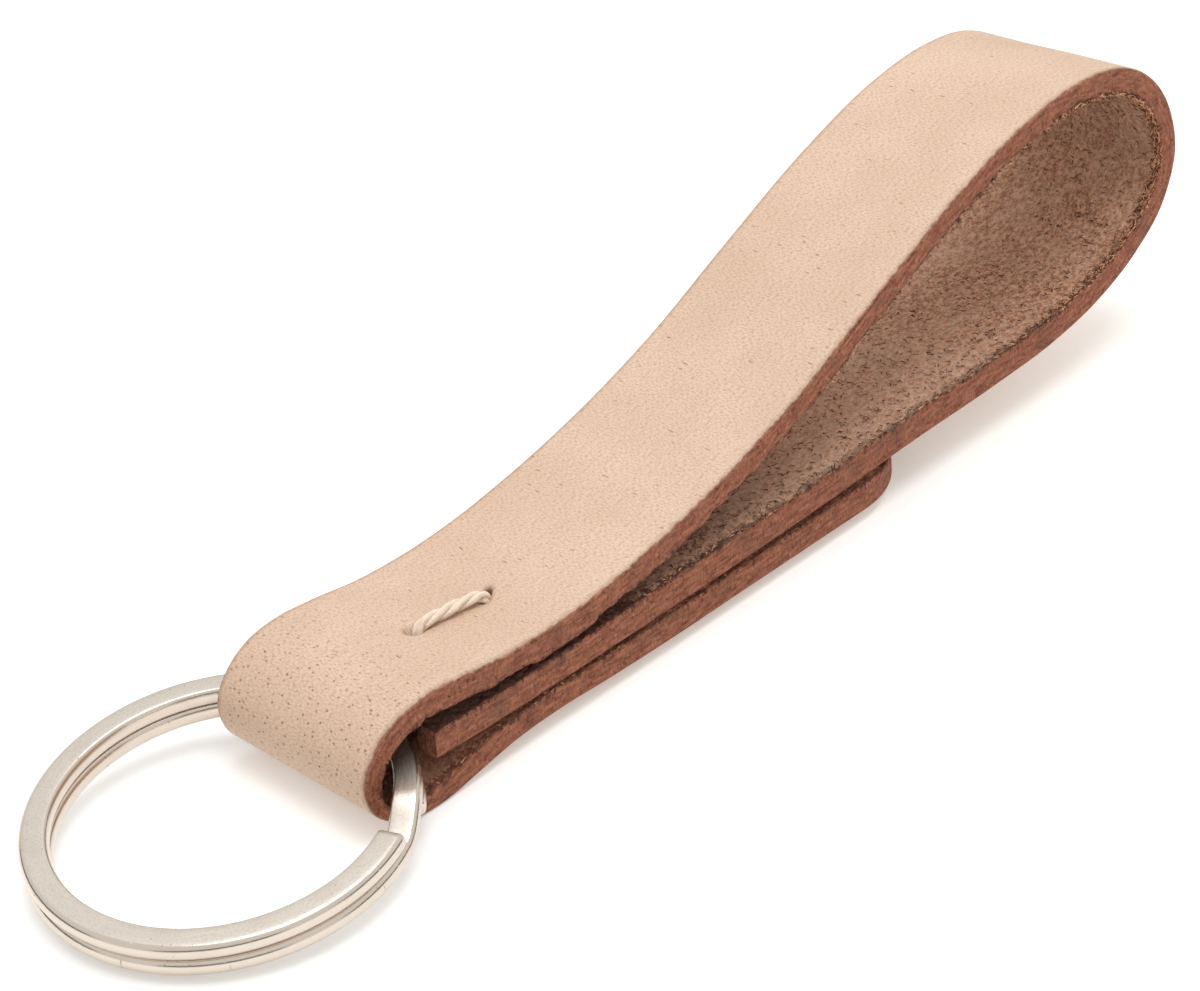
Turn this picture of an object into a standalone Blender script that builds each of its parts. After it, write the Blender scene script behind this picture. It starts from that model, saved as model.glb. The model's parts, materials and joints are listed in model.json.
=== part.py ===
"""Leather key fob: one folded strap, a split ring through its nose, and one stitch that holds the fold.

Units are metres, +Z is up.  The strap's path is drawn in the X-Z plane and runs across the width in Y.
X = 0 is the foremost point of the nose and Z = 0 the level underside of the strap while it is drawn;
place() then moves every point so that the origin lies under the middle of the finished object.
"""

import math

import bmesh
import bpy
from mathutils import Matrix, Vector

MM = 0.001

# Strap
STRAP_WIDTH = 18.75 * MM
EDGE_CHAMFER = 0.35 * MM
NOSE_DROP = 1.1 * MM  # how far the nose hangs below the strap's level underside
TAIL_STRAIGHT = 63.0 * MM  # where the round end of the bottom layer starts
TAIL_REACH = 10.4 * MM  # how far the round end reaches beyond that
TAIL_OVERRUN = 1.5 * MM  # uncut strap beyond the round end, removed by the tail cutter
TAIL_GAP_HEIGHT = 3.45 * MM  # inside the slit between the bottom layer and the middle layer
INNER_END_BELOW = 2.7 * MM  # the inner end's cutter works between these two heights
INNER_END_ABOVE = 7.0 * MM
INNER_END_CLEARANCE = 0.4 * MM

# The strap's grain side from its inner end to its tail: X, Z and the leather's thickness there, in millimetres
STRAP_PATH = (
    (7.7, 3.45, 2.7),
    (12.5, 3.25, 2.8),
    (20.0, 3.1, 2.85),
    (30.0, 3.1, 3.0),
    (45.0, 3.2, 3.15),
    (58.0, 3.5, 3.2),
    (70.0, 4.0, 3.2),
    (84.0, 4.3, 3.2),
    (93.5, 4.9, 3.2),
    (101.0, 6.4, 3.15),
    (107.5, 9.1, 3.1),
    (112.2, 12.8, 3.0),
    (114.3, 18.0, 2.9),
    (112.9, 23.5, 2.75),
    (108.9, 28.2, 2.65),
    (103.2, 31.0, 2.6),
    (96.5, 31.7, 2.55),
    (88.5, 30.7, 2.5),
    (77.5, 27.2, 2.5),
    (65.6, 21.9, 2.5),
    (54.0, 16.5, 2.5),
    (43.0, 12.7, 2.55),
    (34.0, 10.5, 2.65),
    (27.5, 9.4, 2.7),
    (21.5, 8.95, 2.7),
    (16.0, 9.1, 2.6),
    (11.0, 9.75, 2.5),
    (7.0, 9.95, 2.45),
    (3.8, 9.3, 2.4),
    (1.5, 7.7, 2.35),
    (0.25, 5.9, 2.25),
    (0.0, 4.2, 2.0),
    (0.6, 2.1, 1.65),
    (2.2, 0.4, 1.55),
    (4.6, -0.8, 1.8),
    (8.0, -1.1, 2.3),
    (12.0, -0.5, 2.6),
    (16.5, 0.2, 2.5),
    (21.5, 0.4, 2.45),
    (28.0, 0.15, 2.65),
    (35.0, 0.0, 2.8),
    (45.0, 0.0, 2.85),
    (55.0, 0.0, 2.95),
    (65.0, 0.0, 3.05),
    ((TAIL_STRAIGHT + TAIL_REACH + TAIL_OVERRUN) / MM, 0.0, 3.1),
)
PATH_SPAN = 2.6 * MM  # longest step along the path between two cross-sections
TAIL_STEPS = 10

# Split ring
RING_CENTRE = Vector((-7.25 * MM, STRAP_WIDTH / 2, 2.5 * MM))
RING_PITCH_UP = math.radians(4.7)  # the ring rises towards the fold
RING_ROLL = math.radians(2.0)  # and a little towards the far edge
RING_OUTER_RADIUS = 16.3 * MM
WIRE_WIDTH = 2.5 * MM
WIRE_HEIGHT = 1.4 * MM
WIRE_ROUNDING = 0.5 * MM
TURN_GAP = 0.2 * MM
FREE_END_ANGLE = 66.5  # degrees round the ring, clockwise seen from above, to the upper turn's end
SHIFT_START_ANGLE = 49.0  # where the wire begins to step down under that end
SHIFT_END_ANGLE = 64.5
LOWER_END_ANGLE = 47.5
SPRING_LENGTH_ANGLE = 120.0  # the stretch of the upper turn that lifts when a key is put on
SPRING_SLIT_ANGLE = 1.2
WIRE_STEP_ANGLE = 6.0

# Stitch
THREAD_RADIUS = 0.5 * MM
THREAD_CLEARANCE = 0.3 * MM
STITCH_LEFT = Vector((14.3 * MM, 8.6 * MM, 0.0))
STITCH_RIGHT = Vector((21.4 * MM, 7.8 * MM, 0.0))
STITCH_TOP = 9.25 * MM
STITCH_BOW = 0.15 * MM
STITCH_BOTTOM = -0.1 * MM
STITCH_CORNER = 0.9 * MM
KNOT_RADIUS = 0.85 * MM
KNOT_LENGTH = 2.6 * MM
THREAD_SIDES = 8

# The drawing's own origin seen from the finished object's
PLACE = Vector((-45.39 * MM, -STRAP_WIDTH / 2, NOSE_DROP))


def place(point):
    """Moves a point of the drawing into the finished object's frame."""
    return Vector(point) + PLACE


def clear_scene():
    for old in list(bpy.data.objects):
        bpy.data.objects.remove(old, do_unlink=True)


def make_material(name, colour, roughness, metallic=0.0):
    material = bpy.data.materials.new(name)
    material.use_nodes = True
    shader = material.node_tree.nodes["Principled BSDF"]
    shader.inputs["Base Color"].default_value = (*colour, 1.0)
    shader.inputs["Roughness"].default_value = roughness
    shader.inputs["Metallic"].default_value = metallic
    material.diffuse_color = (*colour, 1.0)
    return material


def object_from(name, build, material=None, smooth_angle=40.0):
    """Links an object whose mesh build() has written, with its faces turned outwards."""
    build.normal_update()
    bmesh.ops.recalc_face_normals(build, faces=build.faces)
    mesh = bpy.data.meshes.new(name)
    build.to_mesh(mesh)
    build.free()
    mesh.shade_smooth()
    mesh.set_sharp_from_angle(angle=math.radians(smooth_angle))
    made = bpy.data.objects.new(name, mesh)
    if material:
        mesh.materials.append(material)
    bpy.context.collection.objects.link(made)
    return made


def loft(rings, closed=False):
    """Joins rings of points into one closed tube, or into one closed loop of tube."""
    build = bmesh.new()
    loops = [[build.verts.new(point) for point in ring] for ring in rings]
    pairs = list(zip(loops, loops[1:]))
    if closed:
        pairs.append((loops[-1], loops[0]))
    for first, second in pairs:
        for i in range(len(first)):
            j = (i + 1) % len(first)
            build.faces.new((first[i], first[j], second[j], second[i]))
    if not closed:
        build.faces.new(loops[0])
        build.faces.new(loops[-1])
    return build


def as_cutter(cutter):
    cutter.display_type = "WIRE"
    cutter.hide_render = True
    return cutter


def cut(target, cutter):
    boolean = target.modifiers.new("cut by " + cutter.name, "BOOLEAN")
    boolean.operation = "DIFFERENCE"
    boolean.solver = "EXACT"
    boolean.object = cutter


# ---------------------------------------------------------------------------------------------------- strap


def chord(a, b):
    """The distance between two path points in the X-Z plane; their third number is a thickness."""
    return math.hypot(b[0] - a[0], b[1] - a[1])


def path_stations():
    """Walks the smooth curve through STRAP_PATH and returns (grain point, direction, thickness) along it."""
    spots = [Vector(row) * MM for row in STRAP_PATH]
    gaps = [chord(a, b) for a, b in zip(spots, spots[1:])]
    slopes = [(spots[1] - spots[0]) / gaps[0]]
    for i in range(1, len(spots) - 1):
        before = (spots[i] - spots[i - 1]) / gaps[i - 1]
        after = (spots[i + 1] - spots[i]) / gaps[i]
        slopes.append((before * gaps[i] + after * gaps[i - 1]) / (gaps[i - 1] + gaps[i]))
    slopes.append((spots[-1] - spots[-2]) / gaps[-1])
    stations = []
    for i, gap in enumerate(gaps):
        steps = math.ceil(gap / PATH_SPAN)
        last_span = i == len(gaps) - 1
        for k in range(steps + (1 if last_span else 0)):
            u = k / steps
            here = (
                spots[i] * (2 * u**3 - 3 * u**2 + 1)
                + slopes[i] * gap * (u**3 - 2 * u**2 + u)
                + spots[i + 1] * (3 * u**2 - 2 * u**3)
                + slopes[i + 1] * gap * (u**3 - u**2)
            )
            slope = (
                (spots[i + 1] - spots[i]) * (6 * u - 6 * u**2) / gap
                + slopes[i] * (3 * u**2 - 4 * u + 1)
                + slopes[i + 1] * (3 * u**2 - 2 * u)
            )
            run = Vector((slope[0], slope[1])).normalized()
            stations.append((Vector((here[0], 0.0, here[1])), Vector((run[0], 0.0, run[1])), here[2]))
    return stations


def strap_section(grain_point, direction, thickness):
    """The strap's chamfered cross-section: its flesh side is on the left of the path's direction."""
    inward = Vector((-direction.z, 0.0, direction.x))
    c = EDGE_CHAMFER
    outline = (
        (c, 0.0),
        (STRAP_WIDTH - c, 0.0),
        (STRAP_WIDTH, c),
        (STRAP_WIDTH, thickness - c),
        (STRAP_WIDTH - c, thickness),
        (c, thickness),
        (0.0, thickness - c),
        (0.0, c),
    )
    return [place(grain_point + Vector((0.0, across, 0.0)) + inward * depth) for across, depth in outline]


def prism(outline, bottom, top):
    """A closed upright solid on a flat outline of (X, Y) points."""
    lower = [place((x, y, bottom)) for x, y in outline]
    upper = [place((x, y, top)) for x, y in outline]
    return loft([lower, upper])


def tail_cutter():
    """Everything outside the half ellipse that rounds the bottom layer's end."""
    half = STRAP_WIDTH / 2
    margin = 1.0 * MM
    outline = [(TAIL_STRAIGHT, -margin)]
    for k in range(2 * TAIL_STEPS + 1):
        turn = math.pi * k / (2 * TAIL_STEPS)
        outline.append((TAIL_STRAIGHT + TAIL_REACH * math.sin(turn), half - half * math.cos(turn)))
    outline.append((TAIL_STRAIGHT, STRAP_WIDTH + margin))
    far = TAIL_STRAIGHT + TAIL_REACH + TAIL_OVERRUN + margin
    outline.append((far, STRAP_WIDTH + margin))
    outline.append((far, -margin))
    return as_cutter(object_from("tail_cutter", prism(outline, -margin, TAIL_GAP_HEIGHT)))


def inner_end_cutter():
    """A slice of a round prism that follows the ring: the wire presses the strap's inner end back."""
    reach = RING_OUTER_RADIUS + INNER_END_CLEARANCE
    overhang = 0.5 * MM
    widest = math.degrees(math.asin((STRAP_WIDTH / 2 + overhang) / reach))
    steps = 12
    outline = []
    for k in range(steps + 1):
        turn = math.radians(-widest + 2 * widest * k / steps)
        outline.append((RING_CENTRE.x + reach * math.cos(turn), RING_CENTRE.y + reach * math.sin(turn)))
    build = prism(outline, INNER_END_BELOW, INNER_END_ABOVE)
    return as_cutter(object_from("inner_end_cutter", build))


def make_strap(material):
    rings = [strap_section(*station) for station in path_stations()]
    strap = object_from("leather_strap", loft(rings), material)
    cut(strap, tail_cutter())
    cut(strap, inner_end_cutter())
    hole = object_from("stitch_cutter", thread_tube(THREAD_CLEARANCE))
    cut(strap, as_cutter(hole))
    return strap


# ----------------------------------------------------------------------------------------------- split ring


def ring_matrix():
    """The ring's own frame: its axis is Z and its angles run clockwise seen from above."""
    axis = Vector((-math.tan(RING_PITCH_UP), -math.tan(RING_ROLL), 1.0)).normalized()
    along = Vector((1.0, 0.0, 0.0))
    along = (along - axis * along.dot(axis)).normalized()
    matrix = Matrix((along, axis.cross(along), axis)).transposed().to_4x4()
    matrix.translation = place(RING_CENTRE)
    return matrix


def wire_outline():
    """The wire's section: flat above and below with rounded sides, as (radius offset, height offset)."""
    w = WIRE_WIDTH / 2
    h = WIRE_HEIGHT / 2
    r = WIRE_ROUNDING
    outline = []
    for side_x, side_z, start in ((1, 1, 0), (-1, 1, 90), (-1, -1, 180), (1, -1, 270)):
        for k in range(3):
            turn = math.radians(start + 45 * k)
            outline.append((side_x * (w - r) + r * math.cos(turn), side_z * (h - r) + r * math.sin(turn)))
    return outline


def wire_section(angle, level):
    """One section of the wire: angle in degrees round the ring, level 1 for the upper turn and -1 the lower."""
    turn = math.radians(-angle)
    radius = RING_OUTER_RADIUS - WIRE_WIDTH / 2
    height = level * (WIRE_HEIGHT + TURN_GAP) / 2
    outward = Vector((math.cos(turn), math.sin(turn), 0.0))
    return [outward * (radius + across) + Vector((0, 0, height + up)) for across, up in wire_outline()]


def wire_level(angle):
    """1 on the upper turn, -1 on the lower, with a smooth step between them."""
    start = SHIFT_START_ANGLE + 360
    end = SHIFT_END_ANGLE + 360
    part = min(max((angle - start) / (end - start), 0.0), 1.0)
    return 1 - 2 * (3 * part**2 - 2 * part**3)


def wire_angles(first, last):
    steps = math.ceil((last - first) / WIRE_STEP_ANGLE)
    return [first + (last - first) * k / steps for k in range(steps + 1)]


def place_on_axis(wire, axis_point):
    """Sets the object's origin on a joint's axis and gives the object the ring's own frame."""
    wire.data.transform(Matrix.Translation(-axis_point))
    wire.matrix_world = ring_matrix() @ Matrix.Translation(axis_point)


def make_ring(material):
    """The coil, and the sprung third of a turn that ends in the upper free end, lifting about a tangent line."""
    spring_end = FREE_END_ANGLE + SPRING_LENGTH_ANGLE
    leaf_angles = wire_angles(FREE_END_ANGLE, spring_end - SPRING_SLIT_ANGLE)
    leaf = object_from("ring_free_end", loft([wire_section(a, 1) for a in leaf_angles]), material)
    turn = math.radians(-spring_end)
    hinge = Vector((math.cos(turn), math.sin(turn), 0.0)) * RING_OUTER_RADIUS
    place_on_axis(leaf, hinge)
    before_step = wire_angles(spring_end, SHIFT_START_ANGLE + 360)
    step = wire_angles(SHIFT_START_ANGLE + 360, SHIFT_END_ANGLE + 360)
    step = step[:1] + [(a + b) / 2 for a, b in zip(step, step[1:])] + step[1:]
    after_step = wire_angles(SHIFT_END_ANGLE + 360, LOWER_END_ANGLE + 720)
    coil_angles = sorted(set(before_step + step + after_step))
    coil = object_from("ring_coil", loft([wire_section(a, wire_level(a)) for a in coil_angles]), material)
    place_on_axis(coil, Vector((0.0, 0.0, 0.0)))


# --------------------------------------------------------------------------------------------------- stitch


def thread_route():
    """The stitch's closed loop: over the strap, down through one hole, under the strap and up the other."""
    along = (STITCH_RIGHT - STITCH_LEFT).normalized()
    length = (STITCH_RIGHT - STITCH_LEFT).length
    corner = STITCH_CORNER
    route = []

    def add(distance, height):
        route.append(STITCH_LEFT + along * distance + Vector((0.0, 0.0, height)))

    def add_corner(centre_distance, centre_height, first_degrees):
        for k in range(4):
            turn = math.radians(first_degrees - 30 * k)
            add(centre_distance + corner * math.cos(turn), centre_height + corner * math.sin(turn))

    steps = 5
    add_corner(corner, STITCH_TOP - corner, 180)
    for k in range(1, steps):
        u = k / steps
        bow = STITCH_BOW * math.sin(math.pi * u)
        add(corner + (length - 2 * corner) * u, STITCH_TOP + bow)
    add_corner(length - corner, STITCH_TOP - corner, 90)
    for k in range(1, steps):
        add(length, STITCH_TOP - corner - (STITCH_TOP - STITCH_BOTTOM - 2 * corner) * k / steps)
    add_corner(length - corner, STITCH_BOTTOM + corner, 0)
    knot_steps = 8
    for k in range(1, knot_steps):
        add(length - corner - (length - 2 * corner) * k / knot_steps, STITCH_BOTTOM)
    add_corner(corner, STITCH_BOTTOM + corner, 270)
    for k in range(1, steps):
        add(0.0, STITCH_BOTTOM + corner + (STITCH_TOP - STITCH_BOTTOM - 2 * corner) * k / steps)
    return route


def thread_tube(extra):
    """A closed tube along the stitch, thicker where it is knotted under the strap."""
    route = thread_route()
    knot = (STITCH_LEFT + STITCH_RIGHT) / 2 + Vector((0.0, 0.0, STITCH_BOTTOM))
    side = (STITCH_RIGHT - STITCH_LEFT).normalized().cross(Vector((0.0, 0.0, 1.0)))
    rings = []
    for i, point in enumerate(route):
        direction = (route[(i + 1) % len(route)] - route[i - 1]).normalized()
        up = side.cross(direction)
        nearness = max(0.0, 1 - (point - knot).length / KNOT_LENGTH * 2)
        swell = 3 * nearness**2 - 2 * nearness**3
        radius = THREAD_RADIUS + (KNOT_RADIUS - THREAD_RADIUS) * swell + extra
        ring = []
        for k in range(THREAD_SIDES):
            turn = 2 * math.pi * (k + 0.5) / THREAD_SIDES
            ring.append(place(point + side * (radius * math.cos(turn)) + up * (radius * math.sin(turn))))
        rings.append(ring)
    return loft(rings, closed=True)


def build_fob():
    clear_scene()
    leather = make_material("leather", (0.79, 0.59, 0.44), 0.6)
    nickel = make_material("nickel", (0.72, 0.69, 0.65), 0.25, 1.0)
    linen = make_material("linen", (0.81, 0.65, 0.52), 0.8)
    make_strap(leather)
    make_ring(nickel)
    object_from("stitch_thread", thread_tube(0.0), linen)


build_fob()
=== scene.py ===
"""Leather key fob with a split ring: the finished looks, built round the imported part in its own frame.

Metres, +Z up.  Lengths in the tables below are millimetres.  The strap is drawn as a path in the X-Z plane
whose X = 0 is the front of the nose and whose Z = 0 is the level underside, and is then set on the part.
"""

import itertools
import json
import math

import bpy
import numpy as np
from mathutils import Matrix, Vector


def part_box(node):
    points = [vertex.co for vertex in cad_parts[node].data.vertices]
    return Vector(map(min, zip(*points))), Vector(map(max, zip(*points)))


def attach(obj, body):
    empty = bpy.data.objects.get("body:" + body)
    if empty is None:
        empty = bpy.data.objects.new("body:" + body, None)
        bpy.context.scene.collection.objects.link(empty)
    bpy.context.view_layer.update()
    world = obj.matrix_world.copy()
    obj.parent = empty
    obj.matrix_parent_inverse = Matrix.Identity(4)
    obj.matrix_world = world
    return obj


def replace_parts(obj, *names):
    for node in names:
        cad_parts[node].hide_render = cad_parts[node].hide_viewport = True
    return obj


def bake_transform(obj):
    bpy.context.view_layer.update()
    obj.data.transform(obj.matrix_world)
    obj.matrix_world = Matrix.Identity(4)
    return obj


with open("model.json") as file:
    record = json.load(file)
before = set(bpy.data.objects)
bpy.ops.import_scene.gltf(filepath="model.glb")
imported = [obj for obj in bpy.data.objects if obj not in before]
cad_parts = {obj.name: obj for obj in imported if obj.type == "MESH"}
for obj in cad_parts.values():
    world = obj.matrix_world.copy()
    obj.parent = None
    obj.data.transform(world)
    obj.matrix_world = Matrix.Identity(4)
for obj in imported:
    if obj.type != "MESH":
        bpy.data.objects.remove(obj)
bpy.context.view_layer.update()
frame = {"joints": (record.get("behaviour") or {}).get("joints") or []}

MM = 0.001

# Strap
WIDTH = 18.75
HALF = WIDTH / 2
NOSE_DROP = 1.1
GRAIN_CORNER = 0.35
FLESH_CORNER = 0.3
TAIL_STRAIGHT = 63.0
TAIL_REACH = 10.4
INNER_REACH = 16.7  # radius of the inner end's hollow, round the ring's centre
RING_X = -7.25

# Grain side from the inner end to the tail: X, Z, thickness
STRAP_PATH = (
    (7.7, 3.45, 2.7), (12.5, 3.25, 2.8), (20.0, 3.1, 2.85), (30.0, 3.1, 3.0), (45.0, 3.2, 3.15),
    (58.0, 3.5, 3.2), (70.0, 4.0, 3.2), (84.0, 4.3, 3.2), (93.5, 4.9, 3.2), (101.0, 6.4, 3.15),
    (107.5, 9.1, 3.1), (112.2, 12.8, 3.0), (114.3, 18.0, 2.9), (112.9, 23.5, 2.75), (108.9, 28.2, 2.65),
    (103.2, 31.0, 2.6), (96.5, 31.7, 2.55), (88.5, 30.7, 2.5), (77.5, 27.2, 2.5), (65.6, 21.9, 2.5),
    (54.0, 16.5, 2.5), (43.0, 12.7, 2.55), (34.0, 10.5, 2.65), (27.5, 9.4, 2.7), (21.5, 8.95, 2.7),
    (16.0, 9.1, 2.6), (11.0, 9.75, 2.5), (7.0, 9.95, 2.45), (3.8, 9.3, 2.4), (1.5, 7.7, 2.35),
    (0.25, 5.9, 2.25), (0.0, 4.2, 2.0), (0.6, 2.1, 1.65), (2.2, 0.4, 1.55), (4.6, -0.8, 1.8),
    (8.0, -1.1, 2.3), (12.0, -0.5, 2.6), (16.5, 0.2, 2.5), (21.5, 0.4, 2.45), (28.0, 0.15, 2.65),
    (35.0, 0.0, 2.8), (45.0, 0.0, 2.85), (55.0, 0.0, 2.95), (65.0, 0.0, 3.05), (75.0, 0.0, 3.1),
)
CREST_SPOT = 16  # the loop's highest point and the nose's foremost point, as places in the table
NOSE_SPOT = 31
LOOP_FOOT_SPOT = 9
LOOP_FOOT_EXTRA = 0.6  # thicker flesh on the far side round the loop's foot
LOOP_FOOT_REACH = 9.0
HOLLOW_FADE = 9.0  # how far along the strap the inner end's hollow fades out

# Split ring, angles in degrees clockwise seen from above
RING_OUTER = 16.3
WIRE_WIDTH = 2.5
WIRE_HEIGHT = 1.55
OUTER_SIDE = 0.62  # how far the rounded sides reach in from the wire's edges
INNER_SIDE = 0.4
TURN_GAP = 0.05
FREE_END_ANGLE = 66.5
HINGE_ANGLE = 186.5
SHIFT_ANGLES = (409.0, 424.5)
LOWER_END_ANGLE = 767.5

# Stitch
STITCH_LEFT = (14.3, 8.6)
STITCH_RIGHT = (21.4, 7.8)
STITCH_TOP = 9.5
STITCH_BOTTOM = -0.1
STITCH_BEND = 1.0
STITCH_DROP = 0.1  # how much lower the thread enters its right hand hole
STITCH_CROWN = 0.08
PLY_RADIUS = 0.3
PLY_OFFSET = 0.27
PLY_SIDES = 10
TWIST_PITCH = 7.0
SLIT_RUN = (0.82, 0.57)  # the way the right hand hole is cut


# Stage, in metres
FLOOR_HALF = 1.5
CARD_RADIUS = 0.8
CARD_LEVEL = 0.12


# ------------------------------------------------------------------------------------------------- helpers


def random_field(points, size, seed, octaves=2):
    """Smooth random values of about -1 to 1 at points in millimetres; size is the blobs' size."""
    lattice = np.random.default_rng(seed).uniform(-1, 1, (32, 32, 32))
    points = np.asarray(points, float)
    total = np.zeros(points.shape[:-1])
    for octave in range(octaves):
        spot = points / size * 2**octave + 7.3 * octave
        cell = np.floor(spot).astype(int)
        part = spot - cell
        part = part * part * (3 - 2 * part)
        for corner in itertools.product((0, 1), repeat=3):
            weight = np.prod(np.where(np.array(corner) == 1, part, 1 - part), axis=-1)
            index = (cell + np.array(corner)) % 32
            total += 0.5**octave * weight * lattice[index[..., 0], index[..., 1], index[..., 2]]
    return total


def smooth(value, low, high):
    part = np.clip((np.asarray(value, float) - low) / (high - low), 0, 1)
    return part * part * (3 - 2 * part)


def hump(distance, reach, power=2):
    """1 at no distance, falling away round the reach; a higher even power gives a flatter top."""
    return np.exp(-((distance / reach) ** power))


def unit(vectors):
    return vectors / np.maximum(np.linalg.norm(vectors, axis=-1, keepdims=True), 1e-12)


def mesh_piece(name, points, faces, material, **attributes):
    """Links a smooth-shaded mesh; points are in millimetres, attributes are per point."""
    mesh = bpy.data.meshes.new(name)
    mesh.from_pydata((np.asarray(points) * MM).tolist(), [], [list(f) for f in faces])
    mesh.validate()
    for key, values in attributes.items():
        values = np.asarray(values, np.float32)
        kind = ("FLOAT", "value") if values.ndim == 1 else ("FLOAT_VECTOR", "vector")
        mesh.attributes.new(key, kind[0], "POINT").data.foreach_set(kind[1], values.ravel())
    mesh.shade_smooth()
    mesh.materials.append(material)
    piece = bpy.data.objects.new(name, mesh)
    bpy.context.collection.objects.link(piece)
    return piece


def grid_faces(rows, columns, start=0, wrap=False):
    """Quads on a grid of points numbered row by row; wrap joins each row's end to its start."""
    i, k = np.meshgrid(np.arange(rows - 1), np.arange(columns if wrap else columns - 1), indexing="ij")
    k2 = (k + 1) % columns
    quads = np.stack([i * columns + k, i * columns + k2, (i + 1) * columns + k2, (i + 1) * columns + k], -1)
    return (quads.reshape(-1, 4) + start).tolist()


def tube(centres, radii, sides, closed=False):
    """Points and faces of a round tube along centres, with flat ends unless it is closed."""
    centres = np.asarray(centres, float)
    radii = np.broadcast_to(radii, len(centres))
    if closed:
        along = unit(np.roll(centres, -1, 0) - np.roll(centres, 1, 0))
    else:
        along = unit(np.gradient(centres, axis=0))
    side = np.empty_like(along)
    guess = np.array([0.31, 0.52, 0.79])
    for i, direction in enumerate(along):
        guess = guess - direction * (guess @ direction)
        guess = guess / np.linalg.norm(guess)
        side[i] = guess
    up = np.cross(along, side)
    turn = 2 * np.pi * np.arange(sides) / sides
    ring = side[:, None] * np.cos(turn)[None, :, None] + up[:, None] * np.sin(turn)[None, :, None]
    points = centres[:, None] + ring * np.asarray(radii)[:, None, None]
    faces = grid_faces(len(centres), sides, wrap=True)
    if closed:
        last = (len(centres) - 1) * sides
        faces += [[last + k, last + (k + 1) % sides, (k + 1) % sides, k] for k in range(sides)]
    else:
        faces.append(list(range(sides))[::-1])
        faces.append([(len(centres) - 1) * sides + k for k in range(sides)])
    return points.reshape(-1, 3), faces


class Shader:
    """One material's node tree, built from short calls."""

    def __init__(self, name):
        self.material = bpy.data.materials.new(name)
        self.material.use_nodes = True
        self.tree = self.material.node_tree
        self.surface = self.tree.nodes["Principled BSDF"]

    def put(self, socket, value):
        if isinstance(value, bpy.types.NodeSocket):
            self.tree.links.new(value, socket)
        else:
            socket.default_value = value

    def node(self, kind, inputs, output=0, **settings):
        made = self.tree.nodes.new(kind)
        for key, value in settings.items():
            setattr(made, key, value)
        for key, value in inputs.items():
            self.put(made.inputs[key], value)
        return made.outputs[output]

    def attribute(self, name):
        return self.node("ShaderNodeAttribute", {}, 1, attribute_name=name)

    def parts(self, vector):
        split = self.tree.nodes.new("ShaderNodeSeparateXYZ")
        self.put(split.inputs[0], vector)
        return split.outputs[:]

    def sum(self, a, b, operation="ADD"):
        return self.node("ShaderNodeMath", {0: a, 1: b}, operation=operation)

    def times(self, a, b):
        return self.sum(a, b, "MULTIPLY")

    def stretch(self, vector, x, y, z):
        return self.node("ShaderNodeVectorMath", {0: vector, 1: (x, y, z)}, operation="MULTIPLY")

    def noise(self, vector, scale, detail=3.0, roughness=0.55):
        """Noise of about 0 to 1; scale is blobs per millimetre."""
        inputs = {"Vector": vector, "Scale": scale, "Detail": detail, "Roughness": roughness}
        return self.node("ShaderNodeTexNoise", inputs)

    def cells(self, vector, scale):
        """Distance from the nearest of many scattered dots; scale is dots per millimetre."""
        inputs = {"Vector": vector, "Scale": scale}
        return self.node("ShaderNodeTexVoronoi", inputs, voronoi_dimensions="2D")

    def ramp(self, value, low, high, out_low=0.0, out_high=1.0):
        inputs = {"Value": value, "From Min": low, "From Max": high, "To Min": out_low, "To Max": out_high}
        return self.node("ShaderNodeMapRange", inputs, interpolation_type="SMOOTHSTEP")

    def mix(self, factor, a, b):
        inputs = {0: factor, 6: a, 7: b}
        return self.node("ShaderNodeMix", inputs, 2, data_type="RGBA")

    def bump(self, height, distance, strength=1.0, normal=None):
        inputs = {"Height": height, "Distance": distance, "Strength": strength}
        if normal is not None:
            inputs["Normal"] = normal
        return self.node("ShaderNodeBump", inputs)

    def finish(self, **inputs):
        for key, value in inputs.items():
            self.put(self.surface.inputs[key.replace("_", " ")], value)
        return self.material


def tone(red, green, blue):
    """A screen colour as the linear colour that Blender wants."""
    linear = [((c / 255 + 0.055) / 1.055) ** 2.4 for c in (red, green, blue)]
    return (*linear, 1.0)


# ----------------------------------------------------------------------------------------------- materials


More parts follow.
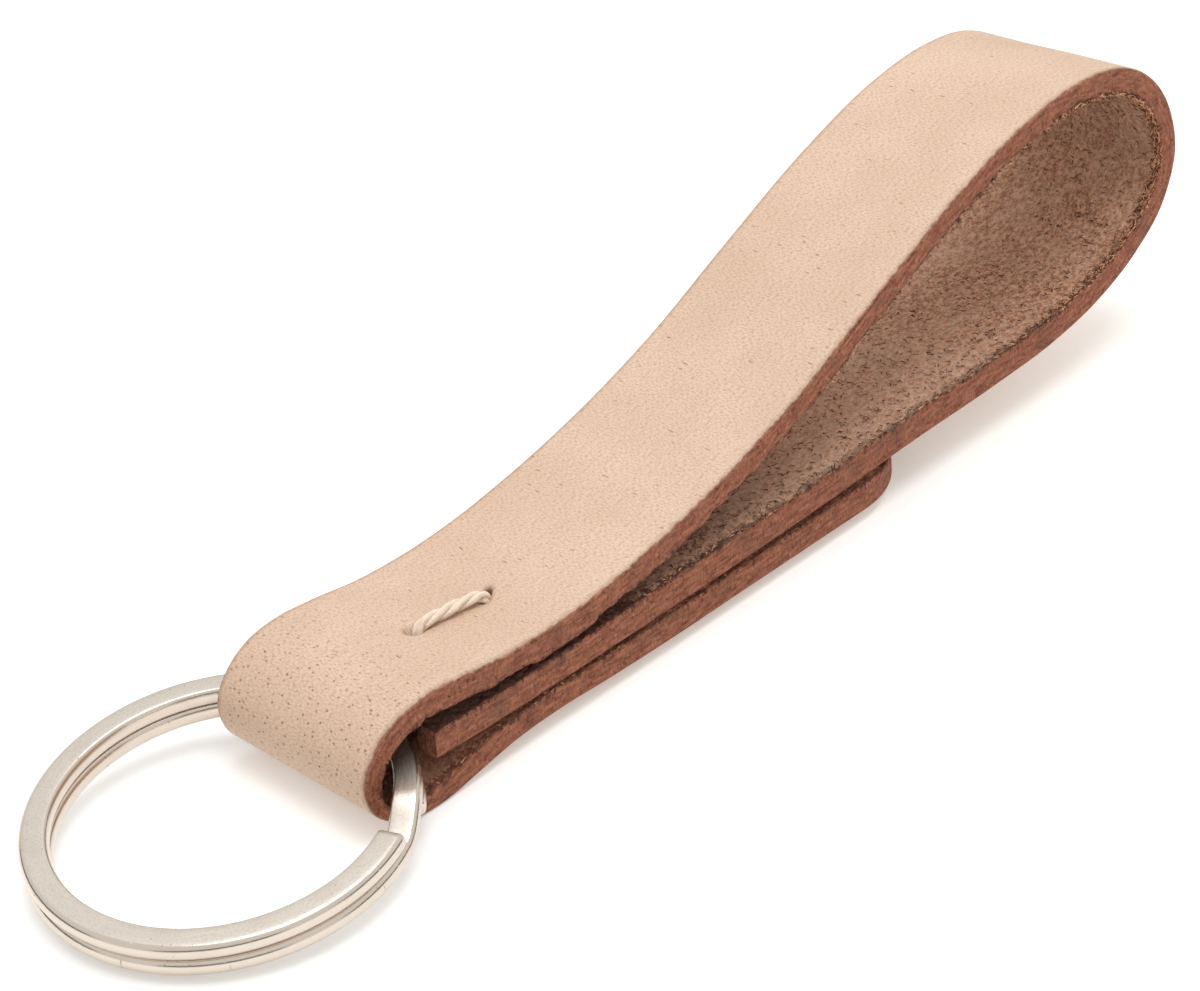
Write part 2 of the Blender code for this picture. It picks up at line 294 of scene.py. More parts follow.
def leather_material():
    """One leather: smooth pale grain, red-brown cut edges and rough brown flesh, told apart by "rim".

    "strip" is the place on the flat strip (along, across, depth).  "rim" is (distance round the section past
    the grain corner, distance past the flesh corner, painted shade of the stitch holes and the inner end's
    face):
    distances are negative before their corner.
    """
    s = Shader("leather")
    strip = s.attribute("strip")
    along = s.parts(strip)[0]
    rim, flesh_rim, hole_and_end_shade = s.parts(s.attribute("rim"))
    wobble = s.noise(strip, 1.3, 4.0, 0.6)
    shift = s.ramp(wobble, 0.3, 0.7, -0.12, 0.12)
    cut = s.ramp(s.sum(rim, s.times(shift, 0.5)), -0.1, 0.1)
    flesh = s.ramp(s.sum(flesh_rim, s.times(shift, 2.2)), -0.2, 0.15)

    # grain
    broad = s.noise(strip, 0.09, 4.0, 0.6)
    fine = s.noise(s.stretch(strip, 1.0, 0.4, 1.0), 6.5, 4.0, 0.75)
    grain = s.mix(s.ramp(broad, 0.3, 0.7), tone(206, 178, 155), tone(215, 188, 166))
    grain = s.mix(s.ramp(fine, 0.42, 0.7), grain, tone(176, 142, 116))
    near_nose = s.ramp(along, NOSE_PORES_FROM, NOSE_PORES_TO)
    pores = s.ramp(s.cells(s.stretch(strip, 1.0, 0.8, 1.0), 1.05), 0.06, 0.14, 1.0, 0.0)
    scattered = s.ramp(s.noise(strip, 0.33, 2.0), 0.5, 0.62)
    uneven = s.ramp(s.noise(strip, 1.1, 3.0, 0.7), 0.36, 0.54)
    pores = s.times(s.times(pores, uneven), s.sum(s.times(near_nose, 1.0), s.times(scattered, 0.2)))
    grain = s.mix(s.times(pores, 0.7), grain, tone(124, 80, 54))
    swirl = s.node("ShaderNodeTexNoise", {"Vector": strip, "Scale": 0.25}, 1)
    bent = s.node("ShaderNodeVectorMath", {0: strip, 1: swirl})
    dashes = s.ramp(s.cells(s.stretch(bent, 1.0, 0.24, 1.0), 0.8), 0.03, 0.075, 1.0, 0.0)
    rare = s.ramp(s.noise(strip, 0.21, 3.0), 0.46, 0.6)
    grain = s.mix(s.times(s.times(s.times(dashes, uneven), rare), 0.85), grain, tone(140, 96, 70))
    border = s.ramp(s.sum(rim, shift), -0.55, -0.02)
    grain = s.mix(s.times(border, 0.5), grain, tone(150, 112, 88))

    # cut edge
    fibre = s.noise(s.stretch(strip, 0.35, 1.5, 1.6), 1.5, 6.0, 0.7)
    patch = s.noise(strip, 0.22, 3.0, 0.6)
    tufts = s.noise(s.stretch(strip, 1.3, 1.6, 0.8), 2.6, 5.0, 0.75)
    edge = s.mix(s.ramp(fibre, 0.3, 0.7), tone(118, 60, 38), tone(186, 118, 88))
    edge = s.mix(s.ramp(tufts, 0.5, 0.72, 0.0, 0.55), edge, tone(216, 156, 124))
    edge = s.mix(s.ramp(tufts, 0.47, 0.33, 0.0, 0.9), edge, tone(58, 28, 19))
    edge = s.mix(s.ramp(patch, 0.52, 0.72, 0.0, 0.4), edge, tone(92, 70, 60))
    torn_and_shaded_wobble = s.ramp(s.noise(s.stretch(strip, 1.0, 1.0, 0.5), 1.6, 5.0, 0.75), 0.3, 0.7, -0.7, 0.55)
    # partly dark fibres, partly painted shade: the cut edge darkens towards its flesh corner, in the gap
    # between layers
    edge = s.mix(s.ramp(s.sum(flesh_rim, torn_and_shaded_wobble), -0.5, 0.0, 0.0, 0.85), edge, tone(54, 28, 20))

    # flesh
    nap = s.noise(s.stretch(strip, 0.7, 1.0, 1.0), 1.9, 6.0, 0.75)
    cloud = s.noise(strip, 0.16, 4.0, 0.6)
    curls = s.noise(s.node("ShaderNodeVectorMath", {0: strip, 1: (0.35, 0.2, 0.0)}), 3.6, 5.0, 0.8)
    under = s.mix(s.ramp(nap, 0.36, 0.64), tone(172, 108, 80), tone(250, 200, 166))
    under = s.mix(s.ramp(curls, 0.5, 0.7, 0.0, 0.85), under, tone(255, 230, 206))
    under = s.mix(s.ramp(curls, 0.46, 0.32, 0.0, 0.85), under, tone(90, 50, 35))
    under = s.mix(s.ramp(cloud, 0.35, 0.7, 0.0, 0.35), under, tone(238, 198, 170))
    # partly dark dye, partly painted shade: the flesh darkens along its corner with the cut edge, in the gap
    # between layers
    under = s.mix(s.ramp(s.sum(flesh_rim, torn_and_shaded_wobble), 0.9, 0.1, 0.0, 0.85), under, tone(66, 34, 24))

    # painted shade: the flesh under the loop's top, which faces down, is darkened
    high = s.times(s.ramp(along, CREST - 36.0, CREST - 16.0), s.ramp(along, CREST + 30.0, CREST + 10.0))
    under = s.mix(s.times(high, 0.42), under, tone(92, 50, 34))
    # painted shade: a lighter, redder shade on the flesh past the nose, inside the fold
    under = s.mix(s.ramp(along, *PAST_NOSE, 0.0, 0.5), under, tone(150, 84, 58))
    # painted light: the lower layer's flesh inside the loop is lightened where the top layer shades it
    lit_loop_floor = s.times(s.ramp(along, 34.0, 46.0), s.ramp(along, 84.0, 66.0))
    under = s.mix(s.times(lit_loop_floor, 0.3), under, tone(255, 222, 196))
    # painted shade: deep shade where the strap lies closed on itself, before the loop and over the top layer
    # up to the nose
    top_fold_shade = s.times(s.ramp(along, *TOP_FOLD), s.ramp(along, *PAST_NOSE[::-1]))
    fold_shade = s.sum(s.ramp(along, *INNER_FOLD[::-1]), top_fold_shade)
    under = s.mix(s.times(fold_shade, 0.75), under, tone(74, 40, 28))

    colour = s.mix(cut, grain, edge)
    colour = s.mix(flesh, colour, under)
    # painted shade: the stitch holes and the inner end's face are darkened to stand for the shade inside them
    colour = s.mix(s.ramp(hole_and_end_shade, 0.05, 1.0, 0.0, 0.95), colour, tone(70, 38, 24))

    leather_skin = s.sum(s.times(fine, 0.5), s.times(s.noise(strip, 7.0, 3.0, 0.6), 0.5))
    wrinkle = s.noise(s.stretch(bent, 0.9, 0.25, 1.0), 0.8, 4.0, 0.6)
    height = s.sum(s.times(leather_skin, 0.3), s.sum(s.times(wrinkle, 0.6), s.times(pores, -0.7)))
    normal = s.bump(height, 0.00007, 0.7)
    rough = s.mix(flesh, s.mix(cut, (0, 0, 0, 1), fibre), nap)
    normal = s.bump(rough, 0.0006, 1.0, normal)
    roughness = s.sum(s.ramp(cut, 0.0, 1.0, 0.52, 0.85), s.times(flesh, 0.1))
    return s.finish(Base_Color=colour, Roughness=roughness, Normal=normal, Specular_IOR_Level=0.35)


def fibre_material():
    s = Shader("leather_fibre")
    tint = s.node("ShaderNodeAttribute", {}, 2, attribute_name="tint")
    # hair colour from random tone, with painted shade for the hairs in the folds
    colour = s.mix(s.ramp(tint, 0.1, 0.9), tone(80, 42, 28), tone(244, 184, 142))
    return s.finish(Base_Color=colour, Roughness=0.85, Specular_IOR_Level=0.2)


def nickel_material():
    """Bright plate: satin with fine scratches where "wire" says flat, glossy on the rounded sides."""
    s = Shader("nickel")
    wire = s.attribute("wire")
    flat = s.ramp(s.parts(s.attribute("face"))[0], 0.7, 1.0)
    hair = s.noise(s.stretch(wire, 0.25, 5.0, 5.0), 2.2, 4.0, 0.65)
    specks = s.ramp(s.cells(wire, 0.8), 0.03, 0.07, 1.0, 0.0)
    cloud = s.noise(wire, 0.35, 3.0)
    colour = s.mix(flat, tone(212, 200, 188), tone(214, 205, 195))
    colour = s.mix(s.ramp(cloud, 0.45, 0.75, 0.0, 0.35), colour, tone(200, 188, 176))
    grit = s.noise(wire, 5.0, 4.0, 0.75)
    colour = s.mix(s.times(flat, s.ramp(grit, 0.45, 0.75, 0.0, 0.7)), colour, tone(180, 168, 156))
    colour = s.mix(s.times(specks, s.ramp(cloud, 0.5, 0.6, 0.0, 0.6)), colour, tone(120, 100, 84))
    roughness = s.sum(s.times(flat, s.ramp(hair, 0.3, 0.7, 0.16, 0.26)), 0.21)
    height = s.sum(s.times(hair, s.sum(s.times(flat, 0.6), 0.1)), s.times(specks, -0.8))
    normal = s.bump(s.sum(height, s.times(s.times(grit, flat), 0.8)), 0.00003, 0.45)
    return s.finish(Base_Color=colour, Metallic=1.0, Roughness=roughness, Normal=normal)


def linen_material():
    s = Shader("linen")
    ply = s.attribute("strip")
    streak = s.noise(s.stretch(ply, 0.5, 3.0, 3.0), 3.0, 4.0, 0.7)
    colour = s.mix(s.ramp(streak, 0.3, 0.7), tone(216, 190, 168), tone(250, 236, 220))
    normal = s.bump(streak, 0.00012, 0.8)
    return s.finish(Base_Color=colour, Roughness=0.8, Normal=normal, Specular_IOR_Level=0.2)


# --------------------------------------------------------------------------------------------------- strap


def path_curve():
    """The smooth curve through STRAP_PATH as rows of (X, Z, thickness), and each table row's place in it."""
    spots = np.array(STRAP_PATH)
    gaps = np.hypot(*np.diff(spots[:, :2], axis=0).T)
    chords = np.diff(spots, axis=0) / gaps[:, None]
    weight = (gaps[:-1] + gaps[1:])[:, None]
    middle = (chords[:-1] * gaps[1:, None] + chords[1:] * gaps[:-1, None]) / weight
    slopes = np.concatenate([chords[:1], middle, chords[-1:]])
    rows = []
    places = [0]
    for i, gap in enumerate(gaps):
        steps = math.ceil(gap / 0.12)
        u = (np.arange(steps) / steps)[:, None]
        rows.append(
            spots[i] * (2 * u**3 - 3 * u**2 + 1)
            + slopes[i] * gap * (u**3 - 2 * u**2 + u)
            + spots[i + 1] * (3 * u**2 - 2 * u**3)
            + slopes[i + 1] * gap * (u**3 - u**2)
        )
        places.append(places[-1] + steps)
    rows.append(spots[-1:])
    return np.concatenate(rows), places


CURVE, PLACES = path_curve()
CURVE_LENGTH = np.concatenate([[0.0], np.cumsum(np.hypot(*np.diff(CURVE[:, :2], axis=0).T))])
CURVE_RUN = unit(np.gradient(CURVE[:, :2], CURVE_LENGTH, axis=0))
CREST, NOSE = (CURVE_LENGTH[PLACES[spot]] for spot in (CREST_SPOT, NOSE_SPOT))
NOSE_PORES_FROM = NOSE - 20.0
NOSE_PORES_TO = NOSE - 4.0

# Distances along the strap over which it opens from itself, closes on itself and comes round the nose; the
# painted shade in the folds follows them
INNER_FOLD = (20.0, 30.0)
TOP_FOLD = (CREST + 36.0, CREST + 56.0)
PAST_NOSE = (NOSE, NOSE + 6.0)


def on_top_layer(x):
    """The distance along the strap of the top layer's point at that X."""
    part = slice(PLACES[CREST_SPOT], PLACES[NOSE_SPOT])
    return float(np.interp(-x, -CURVE[part, 0], CURVE_LENGTH[part]))


def strap_point(along, across, depth):
    """Points of the strap: along its grain side, across its width, and depth in from the grain side."""
    x = np.interp(along, CURVE_LENGTH, CURVE[:, 0])
    z = np.interp(along, CURVE_LENGTH, CURVE[:, 1])
    run_x = np.interp(along, CURVE_LENGTH, CURVE_RUN[:, 0])
    run_z = np.interp(along, CURVE_LENGTH, CURVE_RUN[:, 1])
    return np.stack([x - run_z * depth, across + 0 * x, z + run_x * depth], -1)


def thickness(along):
    return np.interp(along, CURVE_LENGTH, CURVE[:, 2])


TAIL_START = CURVE_LENGTH[-1] - (STRAP_PATH[-1][0] - TAIL_STRAIGHT)


def strap_stations():
    """(distance along, tail angle) of every cross-section; the angle reaches 90 degrees at the tail's tip."""
    fine_from = on_top_layer(STITCH_RIGHT[0] + 2.0)
    fine_to = on_top_layer(STITCH_LEFT[0] - 2.0)
    coarse = 0.47
    fine = 0.2
    runs = [
        np.linspace(0, fine_from, round(fine_from / coarse), endpoint=False),
        np.linspace(fine_from, fine_to, round((fine_to - fine_from) / fine), endpoint=False),
        np.linspace(fine_to, TAIL_START, round((TAIL_START - fine_to) / coarse), endpoint=False),
    ]
    straight = np.concatenate(runs)
    angles = np.radians(np.linspace(0, 90, 34))
    along = np.concatenate([straight, np.full(len(angles), TAIL_START)])
    return along, np.concatenate([0 * straight, angles])


def section_outline():
    """The section's points: share across (-1..1), inset from the edge, fixed depth, share of thickness."""
    coarse = np.concatenate([np.arange(GRAIN_CORNER, 6.3, 0.5), np.arange(6.3, 9.9, 0.25)])
    coarse = np.concatenate([coarse, np.linspace(9.9, WIDTH - GRAIN_CORNER, 18)])
    face = np.interp(coarse, [GRAIN_CORNER, WIDTH - GRAIN_CORNER], [-1, 1])
    face[0] = -1
    rows = [(v, GRAIN_CORNER, 0.0, 0.0) for v in face]
    quarter = np.radians([30, 60, 90])
    far = [(1, GRAIN_CORNER * (1 - math.sin(a)), GRAIN_CORNER * (1 - math.cos(a)), 0.0) for a in quarter]
    span = np.linspace(0, 1, 8)[1:]
    for f in span:
        far.append((1, 0.0, GRAIN_CORNER * (1 - f) - FLESH_CORNER * f, f))
    for a in quarter[:-1]:
        far.append((1, FLESH_CORNER * (1 - math.cos(a)), -FLESH_CORNER * (1 - math.sin(a)), 1.0))
    rows += far
    under = np.linspace(1, -1, 41)
    rows += [(v, FLESH_CORNER, 0.0, 1.0) for v in under]
    rows += [(-1, e, d, f) for _, e, d, f in far[::-1]]
    return np.array(rows), len(face), len(far), len(under)


def make_strap(material):
    """The strap as one closed skin, with worn corners, rough edges and the stitch's two holes pressed in."""
    along, tail = strap_stations()
    outline, face_count, edge_count, under_count = section_outline()
    share, inset, fixed, part = outline.T
    s = along[:, None] + (TAIL_REACH - inset) * np.sin(tail)[:, None]
    y = HALF + share * (HALF - inset) * np.cos(tail)[:, None]
    hollow = np.maximum(RING_X + np.sqrt(INNER_REACH**2 - (y - HALF) ** 2) - STRAP_PATH[0][0], 0)
    s = s + hollow * (1 - smooth(s, 0, HOLLOW_FADE))
    foot = CURVE_LENGTH[PLACES[LOOP_FOOT_SPOT]] + 2
    full = thickness(s) + LOOP_FOOT_EXTRA * hump(s - foot, LOOP_FOOT_REACH) * smooth(y, HALF, WIDTH)
    depth = fixed + part * full
    strip = np.stack([s, y, depth], -1)

    # distance round the section from the grain corner and from the flesh corner
    on_face = (part == 0) & (fixed == 0)
    on_flesh = (part == 1) & (inset == FLESH_CORNER)
    from_side = (1 - np.abs(share)) * (HALF - GRAIN_CORNER) * np.cos(tail)[:, None]
    from_end = s - hollow * (1 - smooth(s, 0, HOLLOW_FADE))
    rim = np.where(on_face, np.maximum(-from_side - 0.2, -from_end - 0.1), depth - 0.1)
    rim = np.where(on_flesh, full, rim)
    flesh_rim = np.where(on_flesh, np.minimum(from_side + 0.15, from_end), depth - full)

    # outward directions
    points = strap_point(s, y, depth)
    step_along = np.gradient(points, axis=0)
    step_round = np.roll(points, -1, 1) - np.roll(points, 1, 1)
    outward = unit(np.cross(step_round, step_along))
    middle = strap_point(s, HALF + 0 * y, full / 2)
    flip = np.sign(np.sum(outward * (points - middle), -1).mean())
    outward = outward * flip

    on_edge = (np.abs(share) == 1) & (depth > GRAIN_CORNER * 0.6)
    lift = 0.05 * random_field(strip, 7.0, 1) * on_face
    worn = smooth(depth / full, 0.1, 0.4)
    lift = lift + on_edge * worn * (0.08 * random_field(strip * [1, 1, 1.6], 1.3, 2, 3) - 0.05)
    nibble = smooth(random_field(strip, 1.1, 3, 2), 0.1, 0.9)
    lift = lift - 0.22 * nibble * on_edge * smooth(depth / full, 0.6, 1.0)
    lift = lift + on_flesh * (0.08 * random_field(strip, 0.9, 4, 2) - 0.05)

    # the stitch presses the top layer in
    x = points[..., 0]
    run = np.array(STITCH_RIGHT) - np.array(STITCH_LEFT)
    length = float(np.hypot(*run))
    run = run / length
    gone = (x - STITCH_LEFT[0]) * run[0] + (y - STITCH_LEFT[1]) * run[1]
    aside = (y - STITCH_LEFT[1]) * run[0] - (x - STITCH_LEFT[0]) * run[1]
    on_top = on_face & (s > CREST) & (s < NOSE)
    left = np.hypot((gone + 0.35) / 1.1, aside - 0.1)
    beyond = np.stack([x - STITCH_RIGHT[0] - 0.35, y - STITCH_RIGHT[1] - 0.25], -1)
    slit_long = beyond @ np.array(SLIT_RUN)
    slit_wide = beyond @ np.array([-SLIT_RUN[1], SLIT_RUN[0]])
    slit = hump(slit_wide, 0.28) * hump(slit_long - 0.2, 1.15, 4)
    under_thread = smooth(gone, -0.4, 0.8) * (1 - smooth(gone, length - 0.8, length))
    dent = 0.75 * hump(left, 0.7, 4) + 0.25 * hump(left, 1.8)
    dent = dent + slit + 0.2 * hump(np.hypot(slit_long / 1.4, slit_wide), 0.9)
    dent = dent + 0.2 * hump(aside, 0.75) * under_thread
    lift = lift - dent * on_top
    ragged = 0.8 + 0.35 * random_field(strip, 0.6, 6)
    # painted shade in the stitch holes, carried to the leather as the third part of "rim"
    hole_and_end_shade = on_top * np.clip(0.5 * hump(left, 0.95, 4) * ragged + 1.8 * slit, 0, 1)

    points = points + outward * lift[..., None]
    count = len(outline)
    rows = len(along)
    faces = grid_faces(rows, count, wrap=True)
    all_points = [points.reshape(-1, 3)]
    all_strip = [strip.reshape(-1, 3)]
    all_rim = [np.stack([rim, flesh_rim, hole_and_end_shade], -1).reshape(-1, 3)]

    # the inner end's face, from the grain side down to the flesh side
    near_edge = np.arange(count - 1, count - 1 - edge_count, -1)
    near_column = np.concatenate([[0], near_edge, [face_count + edge_count + under_count - 1]])
    level_inset, level_depth = inset[near_column], depth[0][near_column]
    cap_share = outline[:face_count, 0]
    cap_y = HALF + cap_share * (HALF - level_inset[:, None])
    cap_s = np.maximum(RING_X + np.sqrt(INNER_REACH**2 - (cap_y - HALF) ** 2) - STRAP_PATH[0][0], 0)
    cap_depth = level_depth[:, None] + 0 * cap_y
    cap_strip = np.stack([cap_s, cap_y, cap_depth], -1)
    cap = strap_point(cap_s, cap_y, cap_depth)
    inside = np.sin(np.pi * np.linspace(0, 1, len(near_column)))[:, None] * (1 - np.abs(cap_share) ** 8)
    cap[..., 0] += inside * (0.12 * random_field(cap, 0.9, 5) - 0.1)
    faces += grid_faces(len(near_column), face_count, rows * count)
    all_points.append(cap.reshape(-1, 3))
    all_strip.append(cap_strip.reshape(-1, 3))
    # the inner end's face: cut-edge colour with a light painted shade, as it sits in shade inside the fold
    bulk = 1.0 + 0 * cap_y
    all_rim.append(np.stack([bulk, -bulk, 0.35 * bulk], -1).reshape(-1, 3))
    return mesh_piece(
        "leather_strap_skin",
        np.concatenate(all_points) + ORIGIN,
        faces,
        material,
        strip=np.concatenate(all_strip),
        rim=np.concatenate(all_rim),
    )


def hairs(name, along, across, depth, radius, tint, material):
    """Thin three-sided hairs whose centre lines are rows of strip coordinates."""
    lines = strap_point(along, across, depth)
    count, knots = along.shape
    run = unit(np.gradient(lines, axis=1))
    side = unit(np.cross(run, np.array([0.3, 0.5, 0.81])))
    up = np.cross(run, side)
    taper = radius[:, None] * (1 - 0.8 * np.linspace(0, 1, knots) ** 2)
    turn = 2 * np.pi * np.arange(3) / 3
    ring = side[:, :, None] * np.cos(turn)[:, None] + up[:, :, None] * np.sin(turn)[:, None]
    points = lines[:, :, None] + ring * taper[:, :, None, None]
    one = np.array(grid_faces(knots, 3, wrap=True))
    starts = (np.arange(count) * knots * 3)[:, None, None]
    faces = (one + starts).reshape(-1, 4).tolist()
    faces += (np.array([[2, 1, 0]]) + starts[:, :, 0]).tolist()
    faces += (np.array([[0, 1, 2]]) + starts[:, :, 0] + (knots - 1) * 3).tolist()
    tints = np.repeat(tint, knots * 3)
    return mesh_piece(name, points.reshape(-1, 3) + ORIGIN, faces, material, tint=tints)


def in_the_fold(along):
    """1 where the strap lies closed on itself, 0 inside the open loop and half way past the nose."""
    closed = smooth(along, *TOP_FOLD) * (1 - 0.5 * smooth(along, *PAST_NOSE))
    return 1 - smooth(along, *INNER_FOLD) * (1 - closed)


def make_nap(material, count=9000):
    """Short curling hairs all over the flesh side of the loop."""
    rng = np.random.default_rng(11)
    t = np.linspace(0, 1, 4)
    s = rng.uniform(8, CREST + 85, (count, 1))
    y = rng.uniform(0.4, WIDTH - 0.4, (count, 1))
    heading = rng.uniform(0, 2 * np.pi, (count, 1)) + rng.uniform(-1.6, 1.6, (count, 1)) * t
    length = rng.uniform(0.3, 0.95, (count, 1))
    along = s + length * np.cumsum(np.cos(heading), 1) / 4
    across = y + length * np.cumsum(np.sin(heading), 1) / 4
    arch = rng.uniform(0.03, 0.2, (count, 1)) * np.sin(np.pi * (0.15 + 0.75 * t))
    depth = thickness(s) + arch - 0.03
    radius = rng.uniform(0.03, 0.065, count)
    # random tone, with painted shade: hairs where the strap lies closed are darkened
    tint = rng.uniform(0, 1, count) * (1 - 0.8 * in_the_fold(s[:, 0]))
    return hairs("leather_nap", along, across, depth, radius, tint, material)


def make_fray(material, count=3800):
    """Longer curls that hang out along the strap's flesh-side corners, thickest inside the loop's end."""
    rng = np.random.default_rng(12)
    t = np.linspace(0, 1, 6)
    loop_end = rng.normal(CREST - 22, 17, (count // 2, 1))
    s = np.concatenate([loop_end, rng.uniform(4, TAIL_START, (count - count // 2, 1))])
    s = np.clip(s, 3, TAIL_START)
    near = rng.random((count, 1)) < 0.7
    y = np.abs(rng.normal(0.1, 0.35, (count, 1))) + 0.05
    full = thickness(s)
    length = rng.uniform(0.25, 0.9, (count, 1)) * (1 + 0.5 * np.exp(-(((s - CREST + 22) / 17) ** 2)))
    heading = rng.uniform(-1.2, 1.2, (count, 1)) + rng.choice([0, np.pi], (count, 1))
    heading = heading + rng.uniform(-2.2, 2.2, (count, 1)) * t
    along = s + length * np.cumsum(np.cos(heading), 1) / 6
    inward = y + length * 0.55 * np.cumsum(np.sin(heading), 1) / 6
    inward = np.maximum(inward, -0.12)
    across = np.where(near, inward, WIDTH - inward)
    depth = full - rng.uniform(0.0, 0.25, (count, 1)) * (y < 0.2) + rng.uniform(-0.1, 0.3, (count, 1)) * t
    radius = rng.uniform(0.03, 0.065, count)
    # random tone, with painted shade: hairs where the strap lies closed are darkened
    tint = rng.uniform(0, 1, count) * (1 - 0.8 * in_the_fold(s[:, 0]))
    return hairs("leather_fray", along, across, depth, radius, tint, material)


# ---------------------------------------------------------------------------------------------- split ring


def ring_axes():
    """The ring's centre, and its own axes as rows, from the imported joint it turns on."""
    joint = next(j for j in frame["joints"] if j["name"] == "ring_turn")
    axis = unit(np.array(joint["axis"], float))
    along = np.array([1.0, 0.0, 0.0])
    along = unit(along - axis * (along @ axis))
    return np.array(joint["pos_m"]) / MM, np.array([along, np.cross(axis, along), axis])


def wire_section():
    """(across, up, flatness) round the wire: flat above and below, with half-round sides."""
    half = WIRE_WIDTH / 2
    h = WIRE_HEIGHT / 2
    rows = []
    for side, reach in ((1, OUTER_SIDE), (-1, INNER_SIDE)):
        for a in np.linspace(90, -90, 19):
            turn = math.radians(a * side)
            across = side * (half - reach + reach * math.cos(turn))
            rows.append((across, h * math.sin(turn), abs(math.sin(turn)) ** 6))
        start, end = rows[-1][0], -side * (half - (INNER_SIDE if side == 1 else OUTER_SIDE))
        for u in (0.33, 0.67):
            rows.append((start + (end - start) * u, -side * h, 1.0))
    return np.array(rows)


def make_wire(name, first, last, material, round_first=False, round_last=False):
    """A stretch of the ring's wire between two angles; its real cut ends are slightly rounded."""
    centre, axes = ring_axes()
    section = wire_section()
    angles = np.linspace(first, last, math.ceil((last - first) / 2) + 1)
    shrink = np.ones(len(angles))
    if round_first:
        angles = np.concatenate([[first, first + 0.15, first + 0.5], angles[1:]])
        shrink = np.concatenate([[0.86, 0.95, 1.0], shrink[1:]])
    if round_last:
        angles = np.concatenate([angles[:-1], [last - 0.5, last - 0.15, last]])
        shrink = np.concatenate([shrink[:-1], [1.0, 0.95, 0.86]])
    part = smooth(angles, *SHIFT_ANGLES)
    level = (1 - 2 * part) * (WIRE_HEIGHT + TURN_GAP) / 2
    turn = np.radians(-angles)
    radius = RING_OUTER - WIRE_WIDTH / 2 + section[:, 0] * shrink[:, None]
    up = level[:, None] + section[:, 1] * shrink[:, None]
    flat = np.stack([np.cos(turn)[:, None] * radius, np.sin(turn)[:, None] * radius, up], -1)
    points = flat @ axes + centre
    count = len(section)
    faces = grid_faces(len(angles), count, wrap=True)
    faces.append(list(range(count))[::-1])
    faces.append([(len(angles) - 1) * count + k for k in range(count)])
    arc = -turn[:, None] * RING_OUTER + 0 * radius
    wire = np.stack([arc, radius, section[:, 1] + 0 * radius], -1)
    face = np.stack([section[:, 2] + 0 * radius] * 3, -1)
    marks = {"wire": wire.reshape(-1, 3), "face": face.reshape(-1, 3)}
    piece = mesh_piece(name, points.reshape(-1, 3), faces, material, **marks)
    piece.data.set_sharp_from_angle(angle=math.radians(50))
    return piece


# -------------------------------------------------------------------------------------------------- stitch


def stitch_bend(along, up, first, last):
    """A quarter turn of the thread in the stitch's own plane, without its last point."""
    turns = np.radians(np.linspace(first, last, 12)[:-1])
    return np.stack([along + STITCH_BEND * np.cos(turns), up + STITCH_BEND * np.sin(turns)], -1)


def stitch_run(start, end, count):
    """A straight run of the thread in the stitch's own plane, without its last point."""
    share = np.linspace(0, 1, count)[:-1, None]
    return np.array(start) + (np.array(end) - np.array(start)) * share


def stitch_route():
    """The thread's closed centre line: over the strap, down one hole, under the strap and up the other."""
    left = np.array([*STITCH_LEFT, 0.0])
    run = np.array([*STITCH_RIGHT, 0.0]) - left
    length = np.linalg.norm(run)
    run = run / length
    far = length - STITCH_BEND
    left_top = STITCH_TOP - STITCH_BEND
    right_top = left_top - STITCH_DROP
    low = STITCH_BOTTOM + STITCH_BEND
    over = stitch_run((STITCH_BEND, STITCH_TOP), (far, STITCH_TOP - STITCH_DROP), 30)
    over[:, 1] += STITCH_CROWN * np.sin(np.pi * np.linspace(0, 1, 30)[:-1])
    stretches = [
        stitch_bend(STITCH_BEND, left_top, 180, 90),
        over,
        stitch_bend(far, right_top, 90, 0),
        stitch_run((length, right_top), (length, low), 36),
        stitch_bend(far, low, 0, -90),
        stitch_run((far, STITCH_BOTTOM), (STITCH_BEND, STITCH_BOTTOM), 30),
        stitch_bend(STITCH_BEND, low, 270, 180),
        stitch_run((0.0, low), (0.0, left_top), 36),
    ]
    flat = np.concatenate(stretches)
    up = np.array([0, 0, 1.0])
    return left + run * flat[:, :1] + up * flat[:, 1:], np.cross(run, up)


def resample(points, spacing):
    closed = np.concatenate([points, points[:1]])
    gone = np.concatenate([[0.0], np.cumsum(np.linalg.norm(np.diff(closed, axis=0), axis=1))])
    count = int(gone[-1] / spacing)
    at = np.linspace(0, gone[-1], count, endpoint=False)
    return np.stack([np.interp(at, gone, closed[:, k]) for k in range(3)], -1), at, gone[-1]


